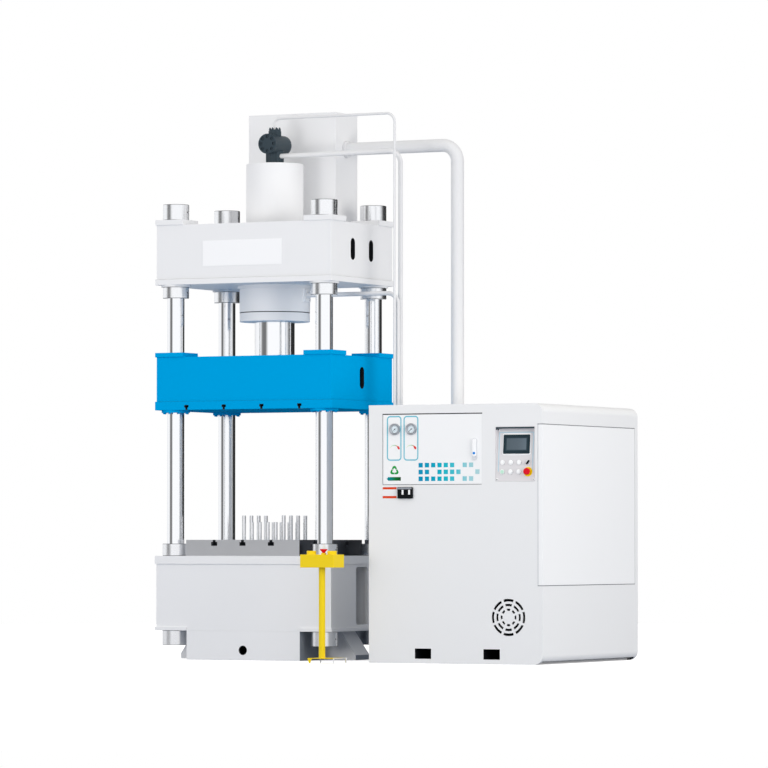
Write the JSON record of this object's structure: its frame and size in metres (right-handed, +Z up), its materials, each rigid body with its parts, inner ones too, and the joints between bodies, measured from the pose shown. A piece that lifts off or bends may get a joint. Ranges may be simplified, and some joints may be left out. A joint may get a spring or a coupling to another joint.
{
  "type": "hydraulic press",
  "caption": "Column-guided hydraulic drawing press with T-slotted table, die cushion, overhead tank, power unit cabinet and two-hand control pedestal.",
  "frame": {"origin": "axis of the main cylinder at the floor", "axes": "+Z up along the slide's stroke, +X towards the power unit, -Y towards the operator"},
  "size_m": [2.992, 1.877, 3.728],
  "materials": {
    "white_paint": "satin powder coat",
    "blue_paint": "satin enamel",
    "cabinet_paint": "satin powder coat",
    "yellow_paint": "satin enamel",
    "slate_paint": "satin enamel",
    "grey_paint": "satin enamel",
    "chromed_steel": "ground and hard chromed",
    "machined_steel": "turned and ground",
    "table_steel": "planed",
    "bronze": "bored",
    "sign_face": "bare plate",
    "white_plastic": "moulded",
    "green_plastic": "moulded",
    "red_plastic": "moulded",
    "black_plastic": "moulded",
    "screen_case": "moulded case with a dark screen",
    "ring_metal": "polished",
    "clear_glass": "flat",
    "needle_paint": "matt"
  },
  "bodies": {
    "frame": {"bed_base": "white_paint", "bed_frame": "white_paint", "worktable": "table_steel", "columns": "chromed_steel", "column_nuts": "machined_steel", "seat_rings": "white_paint", "crown": "white_paint", "sign_plate": "sign_face", "main_cylinder": "white_paint", "cylinder_gland": "white_paint", "port_block": "white_paint", "prefill_valve": "slate_paint", "prefill_tank": "white_paint", "pipe_pilot": "white_paint", "pipe_pressure": "white_paint", "pipe_return": "white_paint", "pipe_suction": "white_paint", "cushion_cylinder": "white_paint", "cabinet_base": "cabinet_paint", "cabinet_shell": "cabinet_paint", "side_cover": "cabinet_paint", "control_panel": "cabinet_paint", "hmi_unit": "screen_case", "button_rings": "ring_metal", "switch_block": "black_plastic", "fan_housing": "black_plastic", "oil_tank": "grey_paint", "pump_unit": "grey_paint", "valve_block": "machined_steel", "electrics_plate": "grey_paint", "pedestal_stand": "yellow_paint", "pedestal_box": "yellow_paint"},
    "slide": {"slide_beam": "blue_paint", "piston_rod": "chromed_steel", "guide_bushes": "bronze", "bush_retainers": "blue_paint"},
    "cushion": {"cushion_ram": "chromed_steel", "cushion_plate": "machined_steel", "cushion_pins": "machined_steel"},
    "door": {"cabinet_door": "cabinet_paint", "handle_plate": "white_plastic", "gauge_cases": "ring_metal", "gauge_glasses": "clear_glass"},
    "handle": {"door_handle": "white_plastic"},
    "needle_left": {"gauge_needle_left": "needle_paint"},
    "needle_right": {"gauge_needle_right": "needle_paint"},
    "push_a": {"button_a": "white_plastic"},
    "push_b": {"button_b": "white_plastic"},
    "push_c": {"button_c": "white_plastic"},
    "push_d": {"button_d": "green_plastic"},
    "push_e": {"button_e": "white_plastic"},
    "push_f": {"button_f": "white_plastic"},
    "selector": {"selector_knob": "black_plastic"},
    "panel_stop": {"panel_stop": "red_plastic"},
    "switch_left": {"switch_lever_left": "white_plastic"},
    "switch_right": {"switch_lever_right": "white_plastic"},
    "fan": {"fan_rotor": "black_plastic"},
    "palm_left": {"palm_button_left": "green_plastic"},
    "palm_right": {"palm_button_right": "green_plastic"},
    "pedestal_stop": {"pedestal_stop": "red_plastic"}
  },
  "joints": [
    {"name": "slide_stroke", "type": "slide", "parent": "frame", "child": "slide", "axis": [0, 0, 1], "range_m": [-0.58, 0.16]},
    {"name": "cushion_stroke", "type": "slide", "parent": "frame", "child": "cushion", "axis": [0, 0, 1], "range_m": [-0.158, 0]},
    {"name": "door_hinge", "type": "hinge", "parent": "frame", "child": "door", "pos_m": [1.168, -0.642, 1.397], "axis": [0, 0, -1], "range_deg": [0, 110]},
    {"name": "handle_turn", "type": "hinge", "parent": "door", "child": "handle", "pos_m": [1.831, -0.655, 1.369], "axis": [0, -1, 0], "range_deg": [0, 90]},
    {"name": "needle_turn_left", "type": "hinge", "parent": "door", "child": "needle_left", "pos_m": [1.248, -0.655, 1.5295], "axis": [0, 1, 0], "range_deg": [0, 270]},
    {"name": "needle_turn_right", "type": "hinge", "parent": "door", "child": "needle_right", "pos_m": [1.369, -0.655, 1.5295], "axis": [0, 1, 0], "range_deg": [0, 270]},
    {"name": "push_travel_a", "type": "slide", "parent": "frame", "child": "push_a", "axis": [0, 0.996, -0.0895], "range_m": [0, 0.004], "stiffness_N_per_m": 400, "springref_m": -0.002},
    {"name": "push_travel_b", "type": "slide", "parent": "frame", "child": "push_b", "axis": [0, 0.996, -0.0895], "range_m": [0, 0.004], "stiffness_N_per_m": 400, "springref_m": -0.002},
    {"name": "push_travel_c", "type": "slide", "parent": "frame", "child": "push_c", "axis": [0, 0.996, -0.0895], "range_m": [0, 0.004], "stiffness_N_per_m": 400, "springref_m": -0.002},
    {"name": "push_travel_d", "type": "slide", "parent": "frame", "child": "push_d", "axis": [0, 0.996, -0.0895], "range_m": [0, 0.004], "stiffness_N_per_m": 400, "springref_m": -0.002},
    {"name": "push_travel_e", "type": "slide", "parent": "frame", "child": "push_e", "axis": [0, 0.996, -0.0895], "range_m": [0, 0.004], "stiffness_N_per_m": 400, "springref_m": -0.002},
    {"name": "push_travel_f", "type": "slide", "parent": "frame", "child": "push_f", "axis": [0, 0.996, -0.0895], "range_m": [0, 0.004], "stiffness_N_per_m": 400, "springref_m": -0.002},
    {"name": "selector_turn", "type": "hinge", "parent": "frame", "child": "selector", "pos_m": [2.21, -0.64296, 1.30704], "axis": [0, -0.996, 0.0895], "range_deg": [-45, 45]},
    {"name": "panel_stop_travel", "type": "slide", "parent": "frame", "child": "panel_stop", "axis": [0, 0.996, -0.0895], "range_m": [0, 0.005]},
    {"name": "switch_tilt_left", "type": "hinge", "parent": "frame", "child": "switch_left", "pos_m": [1.313, -0.66, 1.117], "axis": [1, 0, 0], "range_deg": [-15, 15]},
    {"name": "switch_tilt_right", "type": "hinge", "parent": "frame", "child": "switch_right", "pos_m": [1.361, -0.66, 1.117], "axis": [1, 0, 0], "range_deg": [-15, 15]},
    {"name": "fan_spin", "type": "hinge", "parent": "frame", "child": "fan", "pos_m": [2.072, -0.619, 0.304], "axis": [0, 1, 0], "continuous": true},
    {"name": "palm_travel_left", "type": "slide", "parent": "frame", "child": "palm_left", "axis": [0, 0, -1], "range_m": [0, 0.008], "stiffness_N_per_m": 600, "springref_m": -0.004},
    {"name": "palm_travel_right", "type": "slide", "parent": "frame", "child": "palm_right", "axis": [0, 0, -1], "range_m": [0, 0.008], "stiffness_N_per_m": 600, "springref_m": -0.004},
    {"name": "pedestal_stop_travel", "type": "slide", "parent": "frame", "child": "pedestal_stop", "axis": [0, 0, -1], "range_m": [0, 0.006]}
  ]
}
